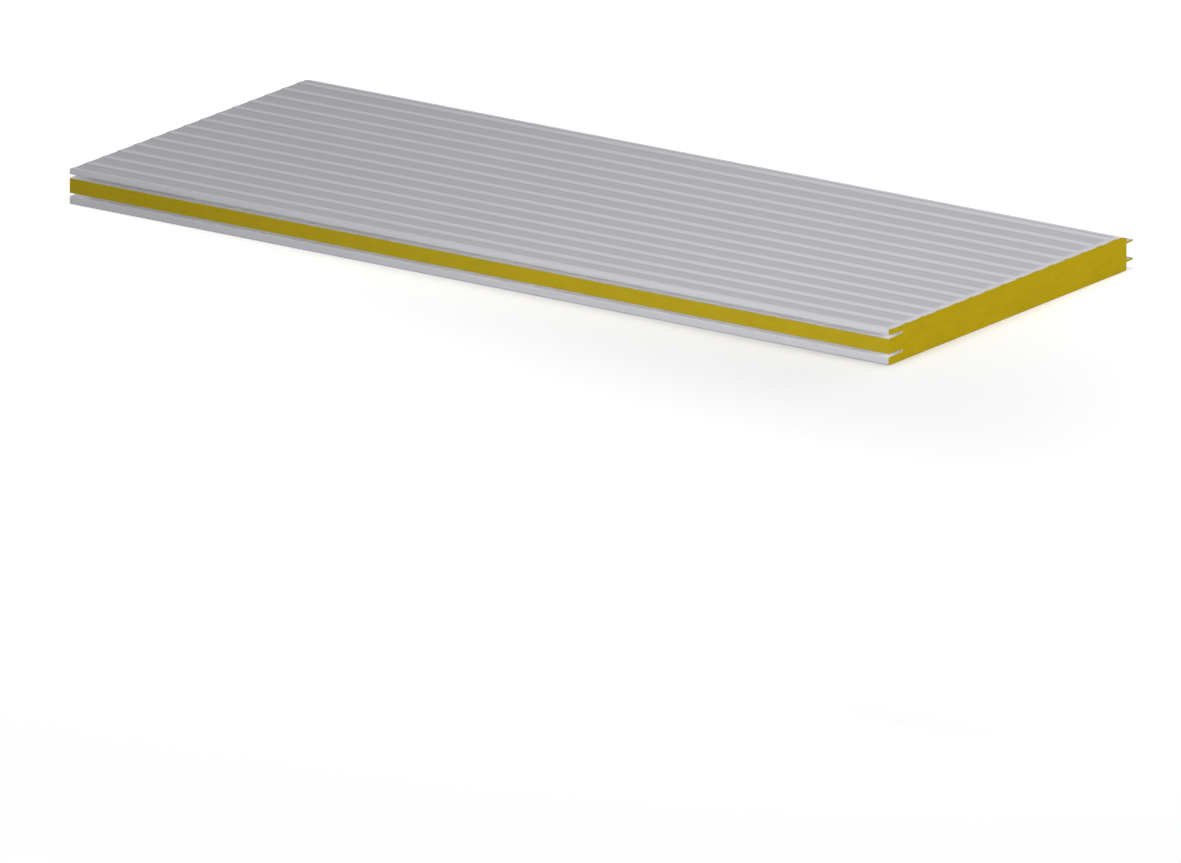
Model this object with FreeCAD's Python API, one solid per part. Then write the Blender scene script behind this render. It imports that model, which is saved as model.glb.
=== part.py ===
"""Insulation panel: two folded sheet facings bonded to a rigid foam core.

Frame, in millimetres: +X runs along the panel, +Y across it from the grooved
edge to the tongued edge, and +Z up through its thickness. The origin is the
middle of the underside of the whole outline, tongues included.

Every section is drawn across the panel and then drawn out along it. A facing
is described by the outline of its exposed side, as corners with a bend radius
each. The bonded side is that outline moved in by the sheet's thickness, and
the core is drawn from the same moved outlines, so core and facings meet.
"""
import FreeCAD, Part
import math
import os

# Overall sizes.
PANEL_LENGTH = 2700.0
COVER_WIDTH = 1120.0
THICKNESS = 100.0
SHEET = 0.5

# Flat-topped ribs rolled into the outer facing, counted from the grooved edge.
EDGE_LAND = 17.0
RIB_PITCH = 75.5
RIB_WIDTH = 26.0
RIB_HEIGHT = 1.5
RIB_FLANK = 3.0

# Grooves of the near edge, one under each facing. They narrow inwards.
OUTER_LIP = 16.5
INNER_LIP = 22.5
GROOVE_MOUTH = 9.5
GROOVE_END = 5.5
GROOVE_DEPTH = 65.0

# Sloping shoulder of the outer facing at the far edge, which leaves a shallow
# valley beside a neighbouring panel's lip.
SHOULDER_WIDTH = 30.0
SHOULDER_DROP = 8.0

# Tongues of the far edge, which enter a neighbouring panel's grooves.
TONGUE_LENGTH = 30.0
JOINT_CLEARANCE = 0.75

# Bend radii, all on the exposed side of the sheet.
LIP_RADIUS = 5.0
GROOVE_END_RADIUS = 2.2
TONGUE_ROOT_RADIUS = 2.0
TONGUE_TIP_RADIUS = 2.2

OVERALL_WIDTH = COVER_WIDTH + TONGUE_LENGTH


def groove_half_gap(inset):
    """Half the groove's clear height at a distance in from its mouth."""
    narrowing = (GROOVE_MOUTH - GROOVE_END) / 2 / GROOVE_DEPTH
    return GROOVE_MOUTH / 2 - narrowing * inset


def groove_bends(lip):
    """Bends of the near edge, from the cut edge of the sheet up to the face.

    Each bend is its place across the panel, its depth below the face and its
    radius. The sheet lines the groove and wraps the lip that covers it.
    """
    middle = lip + GROOVE_MOUTH / 2
    end = groove_half_gap(GROOVE_DEPTH)
    return [
        (0.0, middle + GROOVE_MOUTH / 2, 0.0),
        (GROOVE_DEPTH, middle + end, GROOVE_END_RADIUS),
        (GROOVE_DEPTH, middle - end, GROOVE_END_RADIUS),
        (0.0, lip, LIP_RADIUS),
        (0.0, 0.0, LIP_RADIUS),
    ]


def rib_bends():
    """Bends of the ribbed face: a raised edge land, then a rib at each pitch.

    The face ends where the shoulder starts to slope down.
    """
    face_end = COVER_WIDTH - SHOULDER_WIDTH
    bends = [(EDGE_LAND, 0.0, 0.0), (EDGE_LAND + RIB_FLANK, RIB_HEIGHT, 0.0)]
    start = EDGE_LAND + RIB_PITCH - RIB_WIDTH
    while start + RIB_WIDTH < face_end:
        bends += [
            (start, RIB_HEIGHT, 0.0),
            (start + RIB_FLANK, 0.0, 0.0),
            (start + RIB_WIDTH - RIB_FLANK, 0.0, 0.0),
            (start + RIB_WIDTH, RIB_HEIGHT, 0.0),
        ]
        start += RIB_PITCH
    bends.append((face_end, RIB_HEIGHT, 0.0))
    return bends


def tongue_bends(lip, corner_depth):
    """Bends of the far edge: its corner, the tongue and the sheet's cut edge.

    The tongue is the groove's own outline, less the clearance on both sides.
    """
    middle = lip + GROOVE_MOUTH / 2
    root = groove_half_gap(0.0) - JOINT_CLEARANCE
    tip = groove_half_gap(TONGUE_LENGTH) - JOINT_CLEARANCE
    reach = COVER_WIDTH + TONGUE_LENGTH
    return [
        (COVER_WIDTH, corner_depth, LIP_RADIUS),
        (COVER_WIDTH, middle - root, TONGUE_ROOT_RADIUS),
        (reach, middle - tip, TONGUE_TIP_RADIUS),
        (reach, middle + tip, TONGUE_TIP_RADIUS),
        (COVER_WIDTH, middle + root, 0.0),
    ]


def outer_bends():
    """Exposed outline of the ribbed outer facing, as depths below its ribs."""
    return groove_bends(OUTER_LIP) + rib_bends() + tongue_bends(OUTER_LIP, SHOULDER_DROP)


def inner_bends():
    """Exposed outline of the flat inner facing, as depths above its underside."""
    return groove_bends(INNER_LIP) + tongue_bends(INNER_LIP, 0.0)


def unit(start, end):
    """Direction from one section point to another."""
    along, up = end[0] - start[0], end[1] - start[1]
    length = math.hypot(along, up)
    return along / length, up / length


def moved_in(bends, amount):
    """The same outline on the bonded side, as far in as the amount says.

    Both straights at a bend move square to themselves, and the bend goes to
    where they meet. A radius grows or shrinks with the side the bend turns to.
    """
    last = len(bends) - 1
    result = []
    for index, (across, depth, radius) in enumerate(bends):
        before = unit(bends[max(index - 1, 0)], bends[max(index, 1)])
        after = unit(bends[min(index, last - 1)], bends[min(index + 1, last)])
        turn = before[0] * after[1] - before[1] * after[0]
        share = amount / (1 + before[0] * after[0] + before[1] * after[1])
        new_across = across - share * (before[1] + after[1])
        new_depth = depth + share * (before[0] + after[0])
        if radius > 0:
            radius = radius - amount if turn > 0 else radius + amount
        result.append((new_across, new_depth, radius))
    return result


def squared_ends(bends):
    """Bring both cut edges of a moved outline back to the panel's edge faces."""
    def reach(start, end, across):
        share = (across - start[0]) / (end[0] - start[0])
        return across, start[1] + share * (end[1] - start[1]), 0.0

    first = reach(bends[1], bends[0], 0.0)
    final = reach(bends[-2], bends[-1], COVER_WIDTH)
    return [first] + bends[1:-1] + [final]


def placed(bends, upper):
    """Turn depths into heights, from the top face down or the underside up."""
    if upper:
        return [(across, THICKNESS - depth, radius) for across, depth, radius in bends]
    return list(bends)


def point(across, height):
    """A section point at the panel's starting end."""
    return FreeCAD.Vector(-PANEL_LENGTH / 2, across - OVERALL_WIDTH / 2, height)


def bent_line(bends):
    """Edges of an outline: straights joined by tangent arcs at rounded bends."""
    edges = []
    here = point(*bends[0][:2])
    for index in range(1, len(bends) - 1):
        across, height, radius = bends[index]
        if radius == 0:
            corner = point(across, height)
            edges.append(Part.LineSegment(here, corner).toShape())
            here = corner
            continue
        before = unit(bends[index - 1], bends[index])
        after = unit(bends[index], bends[index + 1])
        turn = math.acos(before[0] * after[0] + before[1] * after[1])
        tangent = radius * math.tan(turn / 2)
        away = (after[0] - before[0], after[1] - before[1])
        size = math.hypot(*away)
        bulge = radius / math.cos(turn / 2) - radius
        start = point(across - tangent * before[0], height - tangent * before[1])
        middle = point(across + bulge * away[0] / size, height + bulge * away[1] / size)
        end = point(across + tangent * after[0], height + tangent * after[1])
        edges.append(Part.LineSegment(here, start).toShape())
        edges.append(Part.Arc(start, middle, end).toShape())
        here = end
    edges.append(Part.LineSegment(here, point(*bends[-1][:2])).toShape())
    return edges


def straight(start, end):
    """One straight edge between two section bends."""
    return Part.LineSegment(point(*start[:2]), point(*end[:2])).toShape()


def drawn_out(edges):
    """Close the edges into a section and draw it out along the panel."""
    wire = Part.Wire(Part.__sortEdges__(edges))
    return Part.Face(wire).extrude(FreeCAD.Vector(PANEL_LENGTH, 0, 0))


def bonded_outline(bends, upper):
    """The bonded side of a facing, which is also the core's boundary."""
    return placed(squared_ends(moved_in(bends, SHEET)), upper)


def facing(bends, upper):
    """A folded sheet: its exposed and bonded outlines joined at the cut edges."""
    exposed = placed(bends, upper)
    bonded = bonded_outline(bends, upper)
    ends = [straight(exposed[0], bonded[0]), straight(exposed[-1], bonded[-1])]
    return drawn_out(bent_line(exposed) + bent_line(bonded) + ends)


def foam_core():
    """The foam between both bonded outlines, bare between the two grooves."""
    top = bonded_outline(outer_bends(), True)
    bottom = bonded_outline(inner_bends(), False)
    edge_faces = [straight(top[0], bottom[0]), straight(top[-1], bottom[-1])]
    return drawn_out(bent_line(top) + bent_line(bottom) + edge_faces)


def main():
    """Write one file for each piece of the panel."""
    pieces = {
        "outer_facing": facing(outer_bends(), True),
        "foam_core": foam_core(),
        "inner_facing": facing(inner_bends(), False),
    }
    os.makedirs("parts", exist_ok=True)
    for name, shape in pieces.items():
        box = shape.BoundBox
        print(name, "valid", shape.isValid(), "volume", round(shape.Volume), "faces", len(shape.Faces),
              "y", round(box.YMin, 3), round(box.YMax, 3), "z", round(box.ZMin, 3), round(box.ZMax, 3))
        shape.exportStep(f"parts/{name}.step")


main()
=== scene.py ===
"""Insulation panel: two folded, painted steel sheets on a rigid foam core.

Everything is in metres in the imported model's frame. +X runs along the panel,
+Y across it from the grooved edge to the tongued edge, and +Z up through its
thickness. A section is drawn as a list of bends across the panel and carried
along it. The bonded side of a sheet is its exposed line moved in by the
sheet's thickness, and the foam takes its outline from the same bonded lines.
"""
import logging
import math
from collections.abc import Callable
from dataclasses import dataclass, field
from enum import Enum

import bpy
import numpy as np
from mathutils import Matrix, Vector
from mathutils.geometry import delaunay_2d_cdt


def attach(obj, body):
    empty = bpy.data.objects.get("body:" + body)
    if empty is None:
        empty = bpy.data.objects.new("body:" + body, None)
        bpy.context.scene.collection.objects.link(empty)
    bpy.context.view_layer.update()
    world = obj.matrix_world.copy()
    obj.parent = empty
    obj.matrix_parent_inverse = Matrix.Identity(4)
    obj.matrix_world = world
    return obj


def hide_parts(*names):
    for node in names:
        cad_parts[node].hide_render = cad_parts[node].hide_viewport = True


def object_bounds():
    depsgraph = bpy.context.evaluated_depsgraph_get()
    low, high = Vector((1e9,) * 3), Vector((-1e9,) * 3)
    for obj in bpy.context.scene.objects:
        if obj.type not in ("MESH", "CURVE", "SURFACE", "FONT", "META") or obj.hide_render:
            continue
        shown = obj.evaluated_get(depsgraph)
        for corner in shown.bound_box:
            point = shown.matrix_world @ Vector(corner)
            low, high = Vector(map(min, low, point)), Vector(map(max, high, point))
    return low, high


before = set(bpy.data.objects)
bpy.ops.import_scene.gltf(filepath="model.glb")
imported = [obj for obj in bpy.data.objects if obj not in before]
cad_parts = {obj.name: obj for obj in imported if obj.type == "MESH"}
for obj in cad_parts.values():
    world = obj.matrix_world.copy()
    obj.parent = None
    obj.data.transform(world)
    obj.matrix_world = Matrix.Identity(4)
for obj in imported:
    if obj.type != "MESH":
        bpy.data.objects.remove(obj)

CAD_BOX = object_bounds()
MM = 0.001
WHITE = (1.0, 1.0, 1.0)
INSIDE_ONLY = 1
Pair = tuple[float, float]
Triple = tuple[float, float, float]

log = logging.getLogger("insulation_panel")


class Line(Enum):
    """The two sides of a sheet."""

    EXPOSED = "exposed"
    BONDED = "bonded"


class Face(Enum):
    """How a sheet's face is rolled."""

    RIBBED = "ribbed"
    FLAT = "flat"


class FoamSide(Enum):
    """How a surface of the foam was made."""

    SAWN = "sawn"
    MOULDED = "moulded"


def smooth(value: np.ndarray) -> np.ndarray:
    """An eased step: zero below 0, one above 1, and 3t squared less 2t cubed between."""
    held = np.clip(value, 0.0, 1.0)
    return held * held * (3.0 - 2.0 * held)


def left_of(heading: np.ndarray) -> np.ndarray:
    """Each heading (a, b) turned a quarter to its left, which is (-b, a)."""
    return np.stack([-heading[..., 1], heading[..., 0]], axis=-1)


@dataclass(frozen=True)
class PanelSizes:
    """Sizes of the whole panel and of its section."""

    length: float
    overall_width: float
    thickness: float
    sheet: float = 0.5 * MM
    edge_land: float = 17 * MM
    rib_pitch: float = 75.5 * MM
    rib_width: float = 26 * MM
    rib_height: float = 1.5 * MM
    rib_flank: float = 3 * MM
    rib_crease: float = 1.2 * MM
    outer_lip: float = 16.5 * MM
    inner_lip: float = 22.5 * MM
    groove_mouth: float = 9.5 * MM
    groove_end: float = 5.5 * MM
    groove_depth: float = 65 * MM
    shoulder_width: float = 30 * MM
    shoulder_drop: float = 8 * MM
    tongue_length: float = 30 * MM
    joint_clearance: float = 0.75 * MM
    lip_radius: float = 5 * MM
    groove_end_radius: float = 2.2 * MM
    tongue_root_radius: float = 2 * MM
    tongue_tip_radius: float = 2.2 * MM

    @property
    def cover_width(self) -> float:
        """Width that one panel covers, without its tongues."""
        return self.overall_width - self.tongue_length

    @property
    def face_end(self) -> float:
        """Place across the panel where the shoulder starts to slope down."""
        return self.cover_width - self.shoulder_width

    def half_gap(self, inset: float) -> float:
        """Half the groove's clear height at a distance in from its mouth."""
        narrowing = (self.groove_mouth - self.groove_end) / 2 / self.groove_depth
        return self.groove_mouth / 2 - narrowing * inset

    def groove_bends(self, lip: float) -> list[Triple]:
        """Bends of the near edge, from the sheet's cut edge round the lip to the face.

        Args:
            lip: height of the lip between the groove and the face.

        Returns:
            Place across, depth below the face and radius of each bend.
        """
        middle = lip + self.groove_mouth / 2
        end = self.half_gap(self.groove_depth)
        return [
            (0.0, middle + self.groove_mouth / 2, 0.0),
            (self.groove_depth, middle + end, self.groove_end_radius),
            (self.groove_depth, middle - end, self.groove_end_radius),
            (0.0, lip, self.lip_radius),
            (0.0, 0.0, self.lip_radius),
        ]

    def rib_bends(self) -> list[Triple]:
        """Bends of the ribbed face: the edge land, then a flat-topped rib at each pitch."""
        crease, low = self.rib_crease, self.rib_height
        bends = [(self.edge_land, 0.0, crease), (self.edge_land + self.rib_flank, low, crease)]
        first = self.edge_land + self.rib_pitch - self.rib_width
        for start in np.arange(first, self.face_end - self.rib_width, self.rib_pitch).tolist():
            finish = start + self.rib_width
            bends += [
                (start, low, crease),
                (start + self.rib_flank, 0.0, crease),
                (finish - self.rib_flank, 0.0, crease),
                (finish, low, crease),
            ]
        return bends + [(self.face_end, low, crease)]

    def tongue_bends(self, lip: float, corner_depth: float) -> list[Triple]:
        """Bends of the far edge: its corner, the tongue and the sheet's cut edge.

        Args:
            lip: height of the lip that the tongue passes under.
            corner_depth: depth of the far corner below the face.

        Returns:
            Place across, depth below the face and radius of each bend.
        """
        middle = lip + self.groove_mouth / 2
        root = self.half_gap(0.0) - self.joint_clearance
        tip = self.half_gap(self.tongue_length) - self.joint_clearance
        return [
            (self.cover_width, corner_depth, self.lip_radius),
            (self.cover_width, middle - root, self.tongue_root_radius),
            (self.overall_width, middle - tip, self.tongue_tip_radius),
            (self.overall_width, middle + tip, self.tongue_tip_radius),
            (self.cover_width, middle + root, 0.0),
        ]

    def bends(self, face: Face) -> np.ndarray:
        """Bends of one whole facing.

        Args:
            face: the ribbed outer facing or the flat inner one.

        Returns:
            An array of place across, depth and radius, one row for each bend.
        """
        if face is Face.RIBBED:
            far = self.tongue_bends(self.outer_lip, self.shoulder_drop)
            return np.array(self.groove_bends(self.outer_lip) + self.rib_bends() + far)
        return np.array(self.groove_bends(self.inner_lip) + self.tongue_bends(self.inner_lip, 0.0))


@dataclass(frozen=True)
class Ripples:
    """A smooth uneven surface: a sum of plane waves with set lengths and seeded turns."""

    shortest: float
    longest: float
    waves: int
    seed: int

    def height(self, along: np.ndarray, across: np.ndarray) -> np.ndarray:
        """Height between 0 and 1, from the mean of sines of each wave's phase.

        Args:
            along: first coordinate of each point.
            across: second coordinate of each point.

        Returns:
            One half plus half the waves' mean, stretched and held within 0 to 1.
        """
        draw = np.random.default_rng(self.seed)
        size = np.geomspace(self.longest, self.shortest, self.waves)
        turn = draw.uniform(0, 2 * np.pi, self.waves)
        start = draw.uniform(0, 2 * np.pi, self.waves)
        along, across = np.broadcast_arrays(along, across)
        way = along[..., None] * np.cos(turn) + across[..., None] * np.sin(turn)
        weight = np.sqrt(size / self.longest)
        total = (np.sin(2 * np.pi * way / size + start) * weight).sum(axis=-1)
        return np.clip(0.5 + total / np.sqrt(2 * (weight ** 2).sum()) / 2, 0.0, 1.0)


@dataclass(frozen=True)
class FoldedSheet:
    """One facing's section and the surfaces that it makes along the panel.

    A support point stands near each end of every straight, so that its
    shading stays flat. The limit is the largest share of the straight.
    """

    sizes: PanelSizes
    face: Face
    stations: int = 46
    arc_points: int = 6
    support: float = 1.5 * MM
    support_limit: float = 0.25
    sag_depth: float = 0.3 * MM
    edge_ramp: float = 90 * MM
    end_ramp: float = 240 * MM
    unevenness: Ripples = Ripples(shortest=0.34, longest=1.1, waves=7, seed=11)

    def section(self) -> tuple[np.ndarray, np.ndarray, np.ndarray]:
        """Exposed line, bonded line and inward direction, in (across, height).

        At a bend with heading u and turn a, the arc starts radius times
        tan(a/2) before the corner. Its point at share t is the arc's centre
        less the radius times the left of u swung by t times a. The straights
        between carry a point near each end and one in the middle. The bonded
        line is the exposed line moved to its left by the sheet's thickness,
        with both ends brought back to the panel's edge faces.

        Returns:
            Three arrays of one row for each point.
        """
        bends = self.sizes.bends(self.face)
        corner, radius = bends[:, :2], bends[1:-1, 2]
        step = np.diff(corner, axis=0)
        heading = step / np.linalg.norm(step, axis=1, keepdims=True)
        before, after = heading[:-1], heading[1:]
        turn = np.arctan2((left_of(before) * after).sum(axis=1), (before * after).sum(axis=1))
        reach = (radius * np.tan(np.abs(turn) / 2))[:, None]
        arc_start, arc_end = corner[1:-1] - before * reach, corner[1:-1] + after * reach

        angle = (turn[:, None] * np.linspace(0.0, 1.0, self.arc_points))[..., None]
        swung = before[:, None] * np.cos(angle) + left_of(before)[:, None] * np.sin(angle)
        side = (np.sign(turn) * radius)[:, None, None]
        arc = arc_start[:, None] + side * (left_of(before)[:, None] - left_of(swung))

        start, finish = np.vstack([corner[:1], arc_end]), np.vstack([arc_start, corner[-1:]])
        span = finish - start
        near = np.minimum(self.support / np.linalg.norm(span, axis=1), self.support_limit)
        share = np.stack([near, np.full_like(near, 0.5), 1.0 - near], axis=1)[..., None]
        run = start[:, None] + span[:, None] * share
        ahead = np.broadcast_to(heading[:, None], run.shape)

        turned = np.concatenate([ahead[:-1], swung], axis=1).reshape(-1, 2)
        inward = left_of(np.vstack([heading[:1], turned, ahead[-1], heading[-1:]]))
        middle = np.concatenate([run[:-1], arc], axis=1).reshape(-1, 2)
        exposed = np.vstack([corner[:1], middle, run[-1], corner[-1:]])
        bonded = exposed + inward * self.sizes.sheet
        for end in (0, -1):
            bonded[end] += heading[end] * (corner[end, 0] - bonded[end, 0]) / heading[end, 0]
        if self.face is Face.RIBBED:
            flip = np.array([1.0, -1.0])
            lift = np.array([0.0, self.sizes.thickness])
            return exposed * flip + lift, bonded * flip + lift, inward * flip
        return exposed, bonded, inward

    def sag(self, along: np.ndarray, across: np.ndarray) -> np.ndarray:
        """How far the face lies below true flat, for each station and point.

        It is a fraction of a millimetre times slow ripples, eased to nothing
        at the cut ends and inside the folded edges.

        Args:
            along: stations from the panel's middle.
            across: places across the panel from its near edge.

        Returns:
            An array of stations by points, never negative.
        """
        x, y = along[:, None], across[None, :]
        ends = smooth((self.sizes.length / 2 - np.abs(x)) / self.end_ramp)
        near = smooth((y - self.sizes.groove_depth) / self.edge_ramp)
        far = smooth((self.sizes.face_end - y) / self.edge_ramp)
        return self.sag_depth * ends * near * far * self.unevenness.height(x, y)

    def surface(self, line: Line) -> np.ndarray:
        """The section carried along the panel, as stations by points by (x, y, z).

        Args:
            line: the exposed or the bonded side.

        Returns:
            Points whose place across and height come from the section, moved
            inward by the sag, at even steps of X.
        """
        exposed, bonded, inward = self.section()
        drawn = exposed if line is Line.EXPOSED else bonded
        along = np.linspace(-self.sizes.length / 2, self.sizes.length / 2, self.stations)
        sunk = drawn[None] + inward[None] * self.sag(along, exposed[:, 0])[..., None]
        x = np.broadcast_to(along[:, None, None], sunk.shape[:2] + (1,))
        centred = sunk - np.array([self.sizes.overall_width / 2, 0.0])
        return np.concatenate([x, centred], axis=-1)


@dataclass
class Shell:
    """Points and patches of faces that become one mesh."""

    points: np.ndarray
    patches: list[tuple[np.ndarray, int]] = field(default_factory=list)

    def add(self, faces: np.ndarray, slot: int = 0) -> None:
        """Add faces of one corner count, one row each, with a material slot."""
        self.patches.append((faces, slot))

    def piece(
        self, name: str, materials: list[bpy.types.Material], crease_angle: float = 40.0
    ) -> bpy.types.Object:
        """Make the mesh object, smooth but for creases sharper than an angle.

        Args:
            name: the piece's name.
            materials: its materials in the order of their slots.
            crease_angle: degrees between faces from which an edge is sharp.

        Returns:
            The object, at the origin, with its place in its mesh.
        """
        corners = np.concatenate([faces.ravel() for faces, _ in self.patches]).astype(np.int32)
        counts = np.concatenate([np.full(len(faces), faces.shape[1]) for faces, _ in self.patches])
        slots = np.concatenate([np.full(len(faces), slot) for faces, slot in self.patches])
        starts = np.concatenate([[0], np.cumsum(counts)[:-1]]).astype(np.int32)
        mesh = bpy.data.meshes.new(name)
        mesh.vertices.add(len(self.points))
        mesh.vertices.foreach_set("co", self.points.astype(np.float32).ravel())
        mesh.loops.add(len(corners))
        mesh.loops.foreach_set("vertex_index", corners)
        mesh.polygons.add(len(counts))
        mesh.polygons.foreach_set("loop_start", starts)
        mesh.polygons.foreach_set("material_index", slots.astype(np.int32))
        mesh.update(calc_edges=True)
        mesh.validate()
        mesh.shade_smooth()
        mesh.set_sharp_from_angle(angle=math.radians(crease_angle))
        for material in materials:
            mesh.materials.append(material)
        made = bpy.data.objects.new(name, mesh)
        bpy.context.scene.collection.objects.link(made)
        return made


def ring_quads(stations: int, points: int) -> np.ndarray:
    """Quads of a closed loop carried along: each joins a point and the next at two stations.

    Args:
        stations: number of loops.
        points: number of points in each loop.

    Returns:
        Point numbers, outward for a loop that runs anticlockwise seen from +X.
    """
    here = np.arange(stations * points).reshape(stations, points)
    after = np.roll(here, -1, axis=1)
    return np.stack([here[:-1], after[:-1], after[1:], here[1:]], axis=-1)


class Socket:
    """A shader value that takes part in Python expressions."""

    def __init__(self, graph: "Graph", link: bpy.types.NodeSocket) -> None:
        """Keep the graph that the value belongs to and the output it comes from."""
        self.graph = graph
        self.link = link

    def _maths(self, operation: str, first: "Socket | float", second: "Socket | float") -> "Socket":
        """One Math node on two values."""
        return self.graph.node("ShaderNodeMath", {"operation": operation}, {0: first, 1: second})

    def __add__(self, other: "Socket | float") -> "Socket":
        """This value plus another."""
        return self._maths("ADD", self, other)

    def __sub__(self, other: "Socket | float") -> "Socket":
        """This value less another."""
        return self._maths("SUBTRACT", self, other)

    def __rsub__(self, other: float) -> "Socket":
        """A number less this value."""
        return self._maths("SUBTRACT", other, self)

    def __mul__(self, other: "Socket | float") -> "Socket":
        """This value times another."""
        return self._maths("MULTIPLY", self, other)

    def larger(self, other: "Socket | float") -> "Socket":
        """The larger of this value and another."""
        return self._maths("MAXIMUM", self, other)

    def __abs__(self) -> "Socket":
        """This value without its sign."""
        return self._maths("ABSOLUTE", self, 0.0)

    __radd__ = __add__
    __rmul__ = __mul__

    def eased(self, low: float, high: float) -> "Socket":
        """Zero at low and one at high, eased between and held outside."""
        values = {"Value": self, "From Min": low, "From Max": high}
        return self.graph.node("ShaderNodeMapRange", {"interpolation_type": "SMOOTHSTEP"}, values)

    def swung(self, middle: float, spread: float) -> "Socket":
        """A middle plus or less half a spread, for a value between 0 and 1."""
        return self * spread + (middle - spread / 2)

    def around(self, spread: float) -> "Socket":
        """One plus or less half a spread, for a value between 0 and 1."""
        return self.swung(1.0, spread)


@dataclass(frozen=True)
class Cloud:
    """Cloudy noise: features per metre, detail, roughness and how far it swings a value."""

    scale: float | Triple
    detail: float = 2.0
    roughness: float = 0.5
    spread: float = 0.0


@dataclass(frozen=True)
class Holes:
    """Scattered holes with ragged rims, darker inside as painted shade. The step is the rim, in
    shares of their spacing.
    """

    spacing: float
    rim: Cloud
    step: Pair
    depth: float
    painted_shade: float


class Graph:
    """A node tree that is written as expressions on sockets."""

    def __init__(self, tree: bpy.types.NodeTree) -> None:
        """Start from an emptied tree."""
        self.tree = tree
        tree.nodes.clear()

    def node(
        self, kind: str, settings: dict | None = None, values: dict | None = None,
        output: int | str = 0,
    ) -> Socket:
        """Make one node, with its settings first and then its sockets.

        Args:
            kind: the node's type.
            settings: properties of the node, such as an operation.
            values: a number, a tuple or a Socket for each input, by name or place.
            output: the output that is returned.

        Returns:
            The output, or an unlinked stand-in for a node without one.
        """
        made = self.tree.nodes.new(kind)
        for name, setting in (settings or {}).items():
            setattr(made, name, setting)
        for place, value in (values or {}).items():
            if isinstance(value, Socket):
                self.tree.links.new(value.link, made.inputs[place])
            else:
                made.inputs[place].default_value = value
        return Socket(self, made.outputs[output] if len(made.outputs) else None)

    def vector(self, operation: str, values: dict, output: int | str = 0) -> Socket:
        """One Vector Math node."""
        return self.node("ShaderNodeVectorMath", {"operation": operation}, values, output)

    def place(self, scale: float | Triple = 1.0) -> Socket:
        """Object coordinates, times a scale for each axis."""
        found = self.node("ShaderNodeTexCoord", output="Object")
        stretch = scale if isinstance(scale, tuple) else (scale, scale, scale)
        return self.vector("MULTIPLY", {0: found, 1: stretch})

    def axis(self, name: str) -> Socket:
        """One object coordinate: X, Y or Z."""
        return self.node("ShaderNodeSeparateXYZ", values={0: self.place()}, output=name)

    def noise(self, cloud: Cloud) -> Socket:
        """Cloudy noise between 0 and 1."""
        values = {"Vector": self.place(cloud.scale), "Scale": 1.0,
                  "Detail": cloud.detail, "Roughness": cloud.roughness}
        return self.node("ShaderNodeTexNoise", {"normalize": True}, values, "Fac")

    def cells(self, scale: float | Triple, output: str = "Distance") -> Socket:
        """Distance to the nearest of scattered points, or a colour for each cell."""
        values = {"Vector": self.place(scale), "Scale": 1.0}
        return self.node("ShaderNodeTexVoronoi", values=values, output=output)

    def holes(self, holes: Holes) -> Socket:
        """One inside scattered holes, falling to zero outside their ragged rims."""
        ragged = self.noise(holes.rim).swung(0.0, holes.rim.spread)
        return (self.cells(1.0 / holes.spacing) + ragged).eased(*holes.step)

    def blend(
        self, share: Socket | float, first: Socket | Triple, second: Socket | Triple
    ) -> Socket:
        """One colour turning into another as the share goes from 0 to 1."""
        pair = {6: self.colour(first), 7: self.colour(second)}
        return self.node("ShaderNodeMix", {"data_type": "RGBA"}, {0: share, **pair}, 2)

    def shaded(self, colour: Socket | Triple, amount: Socket) -> Socket:
        """A colour times a varying amount."""
        return self.vector("SCALE", {0: colour, "Scale": amount})

    @staticmethod
    def colour(value: Socket | Triple) -> Socket | tuple:
        """A linked colour as it is, or a written one with its alpha."""
        return value if isinstance(value, Socket) else (*value, 1.0)

    def bump(self, height: Socket, depth: float, below: Socket | None = None) -> Socket:
        """Surface direction for a height between 0 and 1 over a depth in metres."""
        values = {"Height": height, "Distance": depth, "Strength": 1.0}
        if below is not None:
            values["Normal"] = below
        return self.node("ShaderNodeBump", values=values)

    def seen(self) -> Socket:
        """One for rays that show the studio to the eye, in glass or in a gloss."""
        camera, glossy, through = (
            self.node("ShaderNodeLightPath", output=f"Is {kind} Ray")
            for kind in ("Camera", "Glossy", "Transmission")
        )
        return (camera + glossy + through).eased(0.0, 1.0)


def principled(
    name: str, dress: Callable[[Graph], dict], **constants: float
) -> bpy.types.Material:
    """Make a material from one Principled shader.

    Args:
        name: the material's name.
        dress: a function that takes the graph and returns the varying inputs.
        constants: numbers set on the shader's own sockets, with _ for spaces.

    Returns:
        The material.
    """
    made = bpy.data.materials.new(name)
    made.use_nodes = True
    graph = Graph(made.node_tree)
    values = {key.replace("_", " "): value for key, value in constants.items()}
    values.update(dress(graph))
    shader = graph.node("ShaderNodeBsdfPrincipled", values=values)
    graph.node("ShaderNodeOutputMaterial", values={"Surface": shader})
    return made


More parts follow.
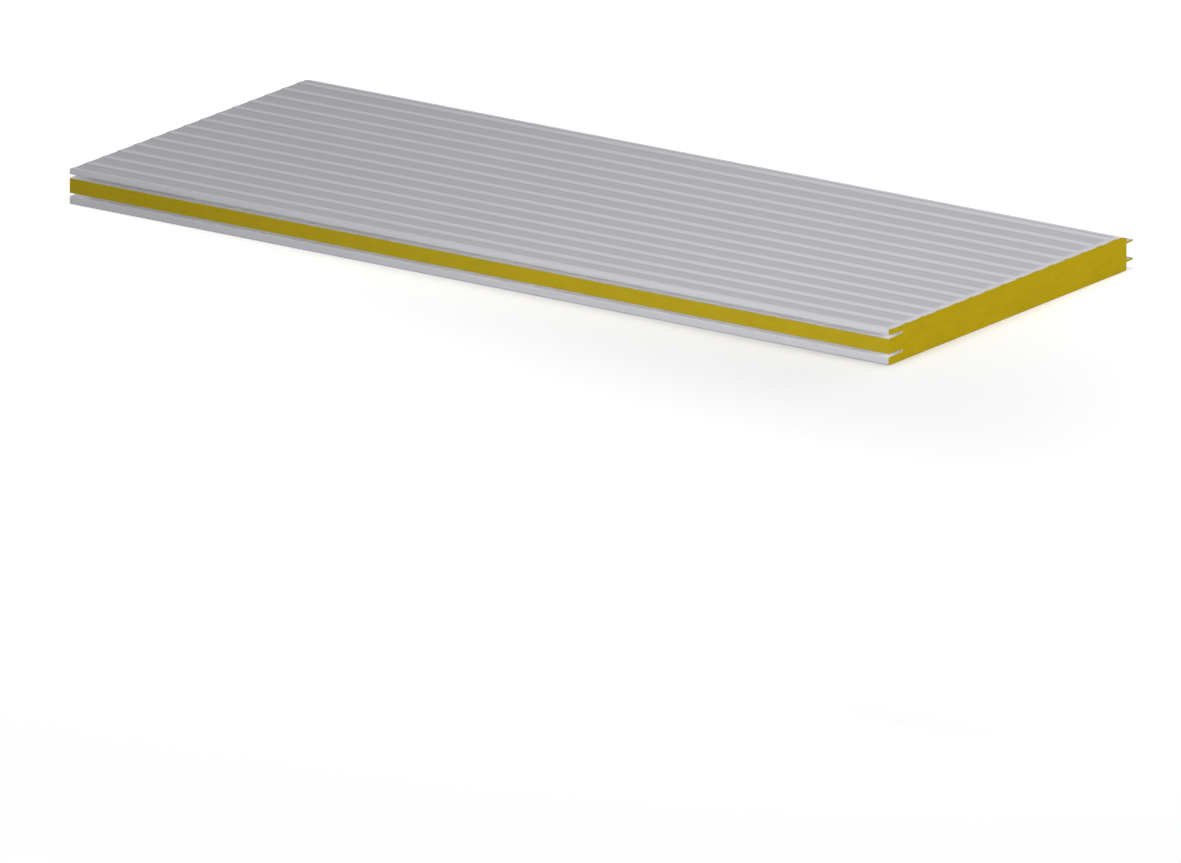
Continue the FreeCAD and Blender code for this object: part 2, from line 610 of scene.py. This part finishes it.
@dataclass(frozen=True)
class CoilCoating:
    """Satin grey-white paint baked on the sheet. The sunk pans carry painted shade, a darker
    colour, and the groove's lining painted light, a lighter one.

    Each pair is where an eased step begins and ends.
    """

    sizes: PanelSizes
    face: Face
    tone: Triple = (0.588, 0.587, 0.622)
    pan_shade_tone: Triple = (0.440, 0.438, 0.480)
    primer: Triple = (0.330, 0.335, 0.340)
    painted_light_lining: Triple = (0.930, 0.930, 0.932)
    rough: float = 0.40
    grime_rough: float = 0.14
    rubbed_rough: float = 0.12
    highlight_border: float = 20 * MM
    end_fade: float = 8 * MM
    land_fade: float = 1 * MM
    shoulder_fade: float = 3 * MM
    pan_top: Pair = (0.30 * MM, 0.02 * MM)
    pan_bottom: Pair = (1.2 * MM, 0.6 * MM)
    lining_start: Pair = (0.6 * MM, 3 * MM)
    lining_end: Pair = (6 * MM, 4 * MM)
    lining_height: Pair = (7 * MM, 6 * MM)
    cloud: Cloud = Cloud((1.7, 3.1, 3.1), 3.0, spread=0.06)
    rolled: Cloud = Cloud((0.7, 150.0, 150.0), 3.0, 0.6, 0.055)
    grime: Cloud = Cloud((9.0, 26.0, 26.0), 5.0, 0.62, 0.045)
    rubbing: Cloud = Cloud((5.0, 60.0, 60.0), 4.0, 0.7)
    rubbed_streaks: Pair = (0.60, 0.72)
    rubbed_areas: Pair = (0.45, 0.65)
    specks_per_metre: float = 210.0
    speck_size: Pair = (0.085, 0.055)
    speck_groups: Cloud = Cloud(31.0)
    speck_areas: Pair = (0.50, 0.64)
    speck_darkening: float = 0.16
    chip_reach: float = 1.6 * MM
    chipping: Cloud = Cloud(260.0, 4.0, 0.65)
    chip_areas: Pair = (0.56, 0.66)
    chip_share: float = 0.8
    peel: Cloud = Cloud(620.0, 1.0)
    peel_depth: float = 0.015 * MM
    buckling: Cloud = Cloud((3.0, 9.0, 9.0), 1.0)
    buckle_depth: float = 0.6 * MM

    def pans(self, graph: Graph) -> Socket:
        """Where shade is painted: one in the sunk pans between the ribs, zero on ribs and folds,
        and zero near the cut ends, whose lighter border is a painted highlight.

        Args:
            graph: the material's graph.

        Returns:
            The product of eased steps in height, place across and length.
        """
        sizes = self.sizes
        height, across = graph.axis("Z"), graph.axis("Y")
        low = sizes.thickness - sizes.rib_height
        near = sizes.edge_land - sizes.overall_width / 2
        far = sizes.face_end - sizes.overall_width / 2
        reach = sizes.length / 2 - self.highlight_border
        sunk = height.eased(low + self.pan_top[0], low + self.pan_top[1])
        on_face = height.eased(low - self.pan_bottom[0], low - self.pan_bottom[1])
        past_land = across.eased(near - self.land_fade, near + self.land_fade)
        before_shoulder = across.eased(far, far - self.shoulder_fade)
        # The painted pan shade stops short of the cut ends, so the lighter border there stands in
        # for an edge highlight.
        run = graph.axis("X").eased(reach + self.end_fade, reach - self.end_fade)
        return sunk * on_face * (past_land * before_shoulder) * run

    def groove(self, graph: Graph) -> Socket:
        """Where light is painted: one on the sheet that lines the near edge's groove, zero on its
        lip.

        Args:
            graph: the material's graph.

        Returns:
            The product of eased steps inward of the edge and at the groove's height.
        """
        sizes = self.sizes
        lip = sizes.outer_lip if self.face is Face.RIBBED else sizes.inner_lip
        middle = lip + sizes.groove_mouth / 2
        if self.face is Face.RIBBED:
            middle = sizes.thickness - middle
        edge = -sizes.overall_width / 2
        end = edge + sizes.groove_depth
        inset = graph.axis("Y").eased(edge + self.lining_start[0], edge + self.lining_start[1])
        depth = graph.axis("Y").eased(end + self.lining_end[0], end + self.lining_end[1])
        level = abs(graph.axis("Z") - middle).eased(*self.lining_height)
        return inset * depth * level

    def dress(self, graph: Graph) -> dict:
        """Colour, roughness and surface direction of the paint."""
        cloud, rolled = graph.noise(self.cloud), graph.noise(self.rolled)
        grime = graph.noise(self.grime)
        rubbed = graph.noise(self.rubbing).eased(*self.rubbed_streaks)
        rubbed = rubbed * cloud.eased(*self.rubbed_areas)
        specks = graph.cells(self.specks_per_metre).eased(*self.speck_size)
        specks = specks * graph.noise(self.speck_groups).eased(*self.speck_areas)
        # The groove's lining is painted lighter than the face, as painted light inside the groove
        # where shade falls.
        tone = graph.blend(self.groove(graph), self.tone, self.painted_light_lining)
        # The sunk pans get a darker colour as painted shade of the rib profile.
        if self.face is Face.RIBBED:
            tone = graph.blend(self.pans(graph), tone, self.pan_shade_tone)
        shade = cloud.around(self.cloud.spread) * rolled.around(self.rolled.spread)
        shade = shade * grime.around(self.grime.spread) * (1.0 - specks * self.speck_darkening)
        half = self.sizes.length / 2
        edge = abs(graph.axis("X")).eased(half - self.chip_reach, half)
        chips = edge * graph.noise(self.chipping).eased(*self.chip_areas)
        colour = graph.blend(chips * self.chip_share, graph.shaded(tone, shade), self.primer)
        skin = graph.bump(graph.noise(self.peel), self.peel_depth)
        waves = graph.bump(graph.noise(self.buckling), self.buckle_depth, skin)
        roughness = grime.swung(self.rough, self.grime_rough) + rubbed * self.rubbed_rough
        return {"Base Color": colour, "Roughness": roughness, "Normal": waves}

    def material(self) -> bpy.types.Material:
        """The paint as a material."""
        return principled(f"coil_coating_{self.face.value}", self.dress, Specular_IOR_Level=0.2)


@dataclass(frozen=True)
class ShearedSteel:
    """Bare zinc-coated steel where the sheet was cut."""

    tone: Triple = (0.50, 0.51, 0.53)
    rough: float = 0.42
    drag: Cloud = Cloud((900.0, 900.0, 240.0), spread=0.2)
    drag_depth: float = 0.02 * MM
    stain: Cloud = Cloud(60.0, 3.0, spread=0.16)

    def dress(self, graph: Graph) -> dict:
        """Colour, roughness and surface direction of the cut."""
        drag, stain = graph.noise(self.drag), graph.noise(self.stain)
        shade = drag.around(self.drag.spread) * stain.around(self.stain.spread)
        return {
            "Base Color": graph.shaded(self.tone, shade),
            "Roughness": drag.swung(self.rough, self.drag.spread),
            "Normal": graph.bump(drag, self.drag_depth),
        }

    def material(self) -> bpy.types.Material:
        """The cut steel as a material."""
        return principled("sheared_steel", self.dress, Metallic=0.75)


@dataclass(frozen=True)
class RigidFoam:
    """Yellow closed-cell foam, with open cells where sawn and a skin where moulded.

    A roughness pair is its middle and its spread.
    """

    sizes: PanelSizes
    side: FoamSide
    sawn_tone: Triple = (0.480, 0.352, 0.006)
    moulded_tone: Triple = (0.450, 0.335, 0.012)
    hole_shade_and_rind_tone: Triple = (0.300, 0.190, 0.008)
    rind_depth: float = 5 * MM
    rind_full: float = 0.8 * MM
    rind_darkening: float = 0.12
    cell: float = 1.3 * MM
    pore_spread: float = 0.18
    fleck_spread: float = 0.14
    pore_height: float = 0.8
    fleck_height: float = 0.5
    torn_depth: float = 0.32 * MM
    saw: Cloud = Cloud((1.0, 310.0, 9.0), 3.0, 0.6, 0.10)
    saw_depth: float = 0.30 * MM
    cut_flow: Cloud = Cloud((1.0, 13.0, 46.0), 4.0, spread=0.20)
    voids: Holes = Holes(30 * MM, Cloud(480.0, spread=0.07), (0.056, 0.028), 1.2 * MM, 0.75)
    sawn_rough: Pair = (0.89, 0.10)
    flow: Cloud = Cloud((7.0, 90.0, 120.0), 3.0, spread=0.09)
    flow_height: float = 0.4
    blotch: Cloud = Cloud((22.0, 22.0, 40.0), 4.0, 0.6, 0.2)
    swell_depth: float = 0.8 * MM
    grain: Cloud = Cloud(700.0, spread=0.10)
    grain_height: float = 0.4
    blister: float = 3.1 * MM
    blister_spread: float = 0.06
    blister_height: float = 0.6
    skin_depth: float = 0.25 * MM
    pits: Holes = Holes(19 * MM, Cloud(520.0, spread=0.09), (0.070, 0.032), 0.8 * MM, 0.6)
    moulded_rough: Pair = (0.70, 0.16)

    def rind(self, graph: Graph) -> Socket:
        """One against the facings, where the foam is denser, falling to zero inside."""
        middle = self.sizes.thickness / 2
        away = abs(graph.axis("Z") - middle)
        return away.eased(middle - self.rind_depth, middle - self.rind_full)

    def dress_sawn(self, graph: Graph) -> dict:
        """Open cells, saw marks, flow clouds, small voids darkened with painted shade, and the
        denser rind.
        """
        pore = graph.cells(1.0 / self.cell)
        cell_colour = graph.cells(1.0 / self.cell, "Color")
        fleck = graph.node("ShaderNodeSeparateColor", values={0: cell_colour})
        saw, flow = graph.noise(self.saw), graph.noise(self.cut_flow)
        voids = graph.holes(self.voids)
        shade = pore.around(self.pore_spread) * fleck.around(self.fleck_spread)
        shade = shade * saw.around(self.saw.spread) * flow.around(self.cut_flow.spread)
        # Voids get a darker colour as painted shade; the denser rind by the facings is the foam's
        # own darker tone.
        hole_shade_and_rind = voids * self.voids.painted_shade + self.rind(graph) * self.rind_darkening
        colour = graph.blend(hole_shade_and_rind, graph.shaded(self.sawn_tone, shade), self.hole_shade_and_rind_tone)
        relief = pore * self.pore_height + fleck * self.fleck_height
        torn = graph.bump(relief, self.torn_depth)
        marks = graph.bump(saw, self.saw_depth, torn)
        hollow = graph.bump(1.0 - voids, self.voids.depth, marks)
        roughness = pore.swung(*self.sawn_rough)
        return {"Base Color": colour, "Roughness": roughness, "Normal": hollow}

    def dress_moulded(self, graph: Graph) -> dict:
        """A closed skin with long flow marks, blotches, small blisters and pits darkened with
        painted shade.
        """
        flow, blotch = graph.noise(self.flow), graph.noise(self.blotch)
        blister, grain = graph.cells(1.0 / self.blister), graph.noise(self.grain)
        pits = graph.holes(self.pits)
        shade = flow.around(self.flow.spread) * blotch.around(self.blotch.spread)
        shade = shade * grain.around(self.grain.spread) * blister.around(self.blister_spread)
        # Pits get a darker colour as painted shade.
        pit_shade = pits * self.pits.painted_shade
        colour = graph.blend(pit_shade, graph.shaded(self.moulded_tone, shade), self.hole_shade_and_rind_tone)
        relief = grain * self.grain_height + blister * self.blister_height
        skin = graph.bump(relief, self.skin_depth)
        swell = graph.bump(blotch + flow * self.flow_height, self.swell_depth, skin)
        hollow = graph.bump(1.0 - pits, self.pits.depth, swell)
        roughness = blotch.swung(*self.moulded_rough)
        return {"Base Color": colour, "Roughness": roughness, "Normal": hollow}

    def material(self) -> bpy.types.Material:
        """The foam as a material."""
        dress = self.dress_sawn if self.side is FoamSide.SAWN else self.dress_moulded
        return principled(f"foam_{self.side.value}", dress, Specular_IOR_Level=0.06)


@dataclass(frozen=True)
class Facing:
    """A folded sheet with its cut edges."""

    sheet: FoldedSheet
    name: str
    node: str

    def shell(self) -> Shell:
        """Exposed and bonded surfaces joined in one loop, closed by the cut edges."""
        exposed, bonded = self.sheet.surface(Line.EXPOSED), self.sheet.surface(Line.BONDED)
        loop = np.concatenate([exposed, bonded[:, ::-1]], axis=1)
        if self.sheet.face is Face.RIBBED:
            loop = loop[:, ::-1]
        stations, points = loop.shape[:2]
        half = points // 2
        sides = ring_quads(stations, points)
        cut = np.isin(np.arange(points), (half - 1, points - 1))
        made = Shell(loop.reshape(-1, 3))
        made.add(sides[:, ~cut].reshape(-1, 4))
        made.add(sides[:, cut].reshape(-1, 4), 1)
        step = np.arange(half - 1)
        end = np.stack([step, step + 1, points - 2 - step, points - 1 - step], axis=-1)
        made.add(end[:, ::-1], 1)
        made.add(end + (stations - 1) * points, 1)
        return made

    def build(self) -> bpy.types.Object:
        """Make and dress the sheet in place of its solid."""
        paint = CoilCoating(self.sheet.sizes, self.sheet.face).material()
        made = self.shell().piece(self.name, [paint, ShearedSteel().material()])
        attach(made, "root")
        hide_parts(self.node)
        return made


@dataclass(frozen=True)
class SawnEnd:
    """The foam's cut face: a net of triangles with a fine relief.

    The push is in shares of the spacing. A chunk is the points tested at once.
    """

    outline: np.ndarray
    spacing: float = 3.3 * MM
    margin: float = 1.1 * MM
    relief: float = 0.35 * MM
    coarse_share: float = 0.45
    push: float = 0.33
    seed: int = 23
    tolerance: float = 1e-7
    chunk: int = 400

    def clear(self, points: np.ndarray) -> np.ndarray:
        """Which points lie inside the outline and clear of it by the margin.

        A point is inside where a line from it crosses the outline an odd
        number of times. Its distance is that to the nearest edge.

        Args:
            points: rows of (y, z).

        Returns:
            A mask, one value for each row.
        """
        start, finish = self.outline, np.roll(self.outline, -1, axis=0)
        span = finish - start
        away = points[:, None] - start[None]
        share = np.clip((away * span).sum(-1) / (span * span).sum(-1), 0.0, 1.0)
        gap = np.linalg.norm(away - span * share[..., None], axis=-1).min(axis=1)
        straddles = (start[:, 1] > points[:, 1, None]) != (finish[:, 1] > points[:, 1, None])
        rise = np.where(span[:, 1] == 0.0, 1.0, span[:, 1])
        left = away[..., 0] < span[:, 0] * away[..., 1] / rise
        return ((straddles & left).sum(axis=1) % 2 == 1) & (gap > self.margin)

    def net(self) -> tuple[np.ndarray, np.ndarray]:
        """Inner points of the face and its triangles.

        The points are a square net, each pushed by up to a third of the
        spacing, and the triangles fill the outline through all of them.

        Returns:
            Inner points as rows of (y, z), and triangles that number the
            outline's points first and the inner ones after them.
        """
        low, high = self.outline.min(axis=0), self.outline.max(axis=0)
        rows = [np.arange(a + self.spacing / 2, b, self.spacing) for a, b in zip(low, high)]
        squares = np.stack(np.meshgrid(*rows), axis=-1).reshape(-1, 2)
        draw = np.random.default_rng(self.seed)
        pushed = squares + draw.uniform(-self.push, self.push, squares.shape) * self.spacing
        parts = np.array_split(pushed, max(len(pushed) // self.chunk, 1))
        inner = pushed[np.concatenate([self.clear(part) for part in parts])]
        every = np.vstack([self.outline, inner]) / MM
        count = len(self.outline)
        order = np.arange(count)
        rim = np.stack([order, np.roll(order, -1)], axis=-1).tolist()
        corners = [Vector(p) for p in every.tolist()]
        found = delaunay_2d_cdt(corners, rim, [], INSIDE_ONLY, self.tolerance)
        source = np.array([ids[0] for ids in found[3]])
        return inner, source[np.array(found[2])]

    def depth(self, points: np.ndarray, seed: int) -> np.ndarray:
        """How far the saw has cut below true at each point, from coarse and fine ripples.

        Args:
            points: rows of (y, z).
            seed: seed of the coarse ripples. The fine ones take the next.

        Returns:
            Depths from nothing to the whole relief, one for each row.
        """
        y, z = points[:, 0], points[:, 1]
        coarse = Ripples(shortest=14 * MM, longest=90 * MM, waves=6, seed=seed)
        fine = Ripples(shortest=5 * MM, longest=12 * MM, waves=9, seed=seed + 1)
        fine_part = (1.0 - self.coarse_share) * fine.height(y, z)
        return self.relief * (self.coarse_share * coarse.height(y, z) + fine_part)


@dataclass(frozen=True)
class FoamCore:
    """The foam between both facings, bare at its ends and on two long strips."""

    upper: FoldedSheet
    lower: FoldedSheet
    name: str
    node: str
    strip_rows: int = 14
    strip_relief: float = 0.3 * MM
    strip_ramp: float = 60 * MM
    end_seeds: tuple[int, int] = (41, 51)
    unevenness: Ripples = Ripples(shortest=0.10, longest=0.5, waves=9, seed=31)

    def strip(self, start: np.ndarray, finish: np.ndarray, inward: float) -> np.ndarray:
        """The bare foam between two sheet edges.

        Each point lies at its share of the way from one edge to the other,
        pushed inward by slow ripples that ease to nothing at both edges and
        at both cut ends.

        Args:
            start: the first edge, one row for each station.
            finish: the second edge, likewise.
            inward: the way into the foam along Y, 1 or -1.

        Returns:
            Stations by rows by (x, y, z), without the two edges.
        """
        share = np.linspace(0.0, 1.0, self.strip_rows + 2)[1:-1]
        flat = start[:, None] + (finish - start)[:, None] * share[None, :, None]
        half = self.upper.sizes.length / 2
        ends = smooth((half - np.abs(flat[..., 0])) / self.strip_ramp)
        ease = ends * np.sin(np.pi * share) ** 0.5
        ripples = self.unevenness.height(flat[..., 0], flat[..., 2] + inward)
        flat[..., 1] += inward * self.strip_relief * ease * ripples
        return flat

    def shell(self) -> tuple[Shell, int]:
        """The foam's outline carried along the panel and closed by its sawn ends.

        Returns:
            The shell, and the number of triangles in one sawn end.
        """
        top, bottom = self.upper.surface(Line.BONDED), self.lower.surface(Line.BONDED)
        far = self.strip(bottom[:, -1], top[:, -1], -1.0)
        near = self.strip(top[:, 0], bottom[:, 0], 1.0)
        loop = np.concatenate([bottom, far, top[:, ::-1], near], axis=1)
        stations, points = loop.shape[:2]
        end = SawnEnd(loop[0, :, 1:])
        inner, triangles = end.net()
        half = self.upper.sizes.length / 2
        caps = [
            np.column_stack([sign * (half - end.depth(inner, seed)), inner])
            for sign, seed in zip((-1.0, 1.0), self.end_seeds)
        ]
        made = Shell(np.vstack([loop.reshape(-1, 3), *caps]))
        made.add(ring_quads(stations, points).reshape(-1, 4), 1)
        rim, first = np.arange(points), stations * points
        inside = np.arange(len(inner))
        at_start = np.concatenate([rim, first + inside])
        at_finish = np.concatenate([rim + (stations - 1) * points, first + len(inner) + inside])
        made.add(at_start[triangles[:, ::-1]])
        made.add(at_finish[triangles])
        return made, len(triangles)

    def build(self) -> bpy.types.Object:
        """Make and dress the foam in place of its solid."""
        shell, net = self.shell()
        finishes = [RigidFoam(self.upper.sizes, side).material() for side in FoamSide]
        made = shell.piece(self.name, finishes)
        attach(made, "root")
        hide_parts(self.node)
        log.info("%s: %d triangles in each sawn end", self.name, net)
        return made


@dataclass(frozen=True)
class SoftBox:
    """A soft lamp that the eye doesn't see."""

    name: str
    centre: Triple
    aim: Triple
    width: float
    height: float
    watts: float
    glints: bool = True

    def build(self) -> None:
        """Hang the lamp and turn it to its aim. One without glints shows in no gloss."""
        lamp = bpy.data.lights.new(self.name, "AREA")
        lamp.shape = "RECTANGLE"
        lamp.size, lamp.size_y, lamp.energy = self.width, self.height, self.watts
        hung = bpy.data.objects.new(self.name, lamp)
        hung.location = self.centre
        way = Vector(self.aim) - Vector(self.centre)
        hung.rotation_euler = way.to_track_quat("-Z", "Y").to_euler()
        hung.visible_camera = False
        hung.visible_glossy = self.glints
        bpy.context.scene.collection.objects.link(hung)


@dataclass(frozen=True)
class Studio:
    """A pale floor that fades to white, the sky round it and the lamps.

    The near glow holds everywhere. The dim glow grows from the lit spot to
    the lit radius, and the far glow from there to the far radius, so that
    floor with less light is as white.
    """

    floor_size: float = 80.0
    floor_drop: float = 0.3 * MM
    floor_tone: Triple = (0.58, 0.58, 0.58)
    seen_tone: Triple = (0.92, 0.92, 0.92)
    near_glow: float = 0.07
    dim_glow: float = 0.62
    far_glow: float = 0.14
    lit_spot: Triple = (1.5, -1.0, 0.0)
    lit_radius: float = 3.6
    lit_front: float = -3.4
    lit_fade: float = 0.8
    far_radius: float = 7.0
    sky: float = 0.26

    def floor(self) -> None:
        """Lay the floor: its shade keeps the panel's shadow, and a glow makes the rest white."""
        half = self.floor_size / 2
        signs = ((-1, -1), (1, -1), (1, 1), (-1, 1))
        corners = [(half * x, half * y, -self.floor_drop) for x, y in signs]
        mesh = bpy.data.meshes.new("floor")
        mesh.from_pydata(corners, [], [(0, 1, 2, 3)])
        made = bpy.data.objects.new("floor", mesh)
        bpy.context.scene.collection.objects.link(made)
        material = bpy.data.materials.new("pale_floor")
        material.use_nodes = True
        graph = Graph(material.node_tree)
        plain = graph.node("ShaderNodeBsdfDiffuse", values={"Color": graph.colour(self.floor_tone)})
        shown = graph.node("ShaderNodeBsdfDiffuse", values={"Color": graph.colour(self.seen_tone)})
        offset = graph.vector("SUBTRACT", {0: graph.place(), 1: self.lit_spot})
        away = graph.vector("LENGTH", {0: offset}, "Value")
        behind = graph.axis("Y").eased(self.lit_front + self.lit_fade, self.lit_front)
        dim = away.eased(0.0, self.lit_radius).larger(behind)
        far = away.eased(self.lit_radius, self.far_radius)
        strength = dim * self.dim_glow + far * self.far_glow + self.near_glow
        light = {"Color": graph.colour(WHITE), "Strength": strength}
        glow = graph.node("ShaderNodeEmission", values=light)
        bright = graph.node("ShaderNodeAddShader", values={0: shown, 1: glow})
        surface = graph.node("ShaderNodeMixShader", values={0: graph.seen(), 1: plain, 2: bright})
        graph.node("ShaderNodeOutputMaterial", values={"Surface": surface})
        mesh.materials.append(material)

    def sky_round(self) -> None:
        """Light the panel evenly from all round, and show plain white behind it."""
        world = bpy.data.worlds.new("studio_sky")
        world.use_nodes = True
        graph = Graph(world.node_tree)
        strength = graph.seen() * (1.0 - self.sky) + self.sky
        light = {"Color": graph.colour(WHITE), "Strength": strength}
        sky = graph.node("ShaderNodeBackground", values=light)
        graph.node("ShaderNodeOutputWorld", values={"Surface": sky})
        bpy.context.scene.world = world

    def build(self) -> None:
        """Set up floor, sky and lamps."""
        self.floor()
        self.sky_round()
        for lamp in (
            SoftBox("overhead_box", centre=(1.0, 0.2, 3.2), aim=(0.8, 0.1, 0.1),
                    width=1.8, height=1.8, watts=35.0),
            SoftBox("front_box", centre=(1.3, -3.4, 0.85), aim=(0.7, -0.56, 0.07),
                    width=1.7, height=0.7, watts=54.0),
            SoftBox("end_box", centre=(4.8, -0.1, 1.0), aim=(1.35, 0.0, 0.05),
                    width=1.2, height=1.0, watts=61.0),
            SoftBox("rear_box", centre=(1.9, 4.2, 1.2), aim=(0.0, 0.5, 0.05),
                    width=2.4, height=1.0, watts=66.0, glints=False),
            SoftBox("front_left_box", centre=(-1.5, -3.4, 0.85), aim=(-1.2, -0.56, 0.07),
                    width=1.2, height=0.7, watts=8.0),
            SoftBox("left_box", centre=(-4.9, 1.9, 0.45), aim=(-1.35, 0.1, 0.05),
                    width=1.4, height=0.6, watts=100.0),
        ):
            lamp.build()


@dataclass(frozen=True)
class Viewpoint:
    """A far camera that sees the panel almost without convergence."""

    sizes: PanelSizes
    azimuth: float = 35.342
    elevation: float = 16.380
    frame_width: int = 1181
    frame_height: int = 863
    metres_per_pixel: float = 2.6974 * MM
    panel_pixel: Pair = (599.5, 218.2)
    lens: float = 1000.0
    sensor: float = 36.0
    far_limit: float = 400.0

    def build(self) -> None:
        """Place the camera so that the panel's middle falls on its pixel.

        The distance makes one pixel of the frame as wide as its size at the
        panel. The aim is moved from the panel's middle against the offset of
        its pixel from the frame's middle.
        """
        turn, rise = math.radians(self.azimuth), math.radians(self.elevation)
        level = math.cos(rise)
        back = Vector((math.sin(turn) * level, -math.cos(turn) * level, math.sin(rise)))
        right = Vector((math.cos(turn), math.sin(turn), 0.0))
        up = back.cross(right)
        distance = self.lens * self.frame_width / self.sensor * self.metres_per_pixel
        sideways = (self.panel_pixel[0] - self.frame_width / 2) * self.metres_per_pixel
        upward = (self.frame_height / 2 - self.panel_pixel[1]) * self.metres_per_pixel
        aim = Vector((0.0, 0.0, self.sizes.thickness / 2)) - right * sideways - up * upward
        camera = bpy.data.cameras.new("viewpoint")
        camera.lens, camera.sensor_width, camera.clip_end = self.lens, self.sensor, self.far_limit
        stand = bpy.data.objects.new("viewpoint", camera)
        placed = Matrix((right, up, back)).transposed().to_4x4()
        placed.translation = aim + back * distance
        stand.matrix_world = placed
        bpy.context.scene.collection.objects.link(stand)
        bpy.context.scene.camera = stand


@dataclass(frozen=True)
class InsulationPanel:
    """The whole panel: two facings and the core."""

    sizes: PanelSizes

    @classmethod
    def from_frame(cls) -> "InsulationPanel":
        """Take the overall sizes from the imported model."""
        length, width, thickness = (high - low for low, high in zip(*CAD_BOX))
        return cls(PanelSizes(length=length, overall_width=width, thickness=thickness))

    def build(self) -> list[bpy.types.Object]:
        """Make the pieces in order and return them."""
        upper, lower = FoldedSheet(self.sizes, Face.RIBBED), FoldedSheet(self.sizes, Face.FLAT)
        makers = [
            FoamCore(upper, lower, "foam_body", "foam_core"),
            Facing(upper, "ribbed_sheet", "outer_facing"),
            Facing(lower, "flat_sheet", "inner_facing"),
        ]
        return [maker.build() for maker in makers]


def main() -> None:
    """Build the panel and its studio, and report each piece."""
    logging.basicConfig(level=logging.INFO, format="%(name)s: %(message)s")
    bpy.context.scene.view_settings.view_transform = "Standard"
    panel = InsulationPanel.from_frame()
    for piece in panel.build():
        mesh = piece.data
        log.info("%s: %d points, %d faces", piece.name, len(mesh.vertices), len(mesh.polygons))
    Studio().build()
    Viewpoint(panel.sizes).build()


if __name__ == "__main__":
    main()
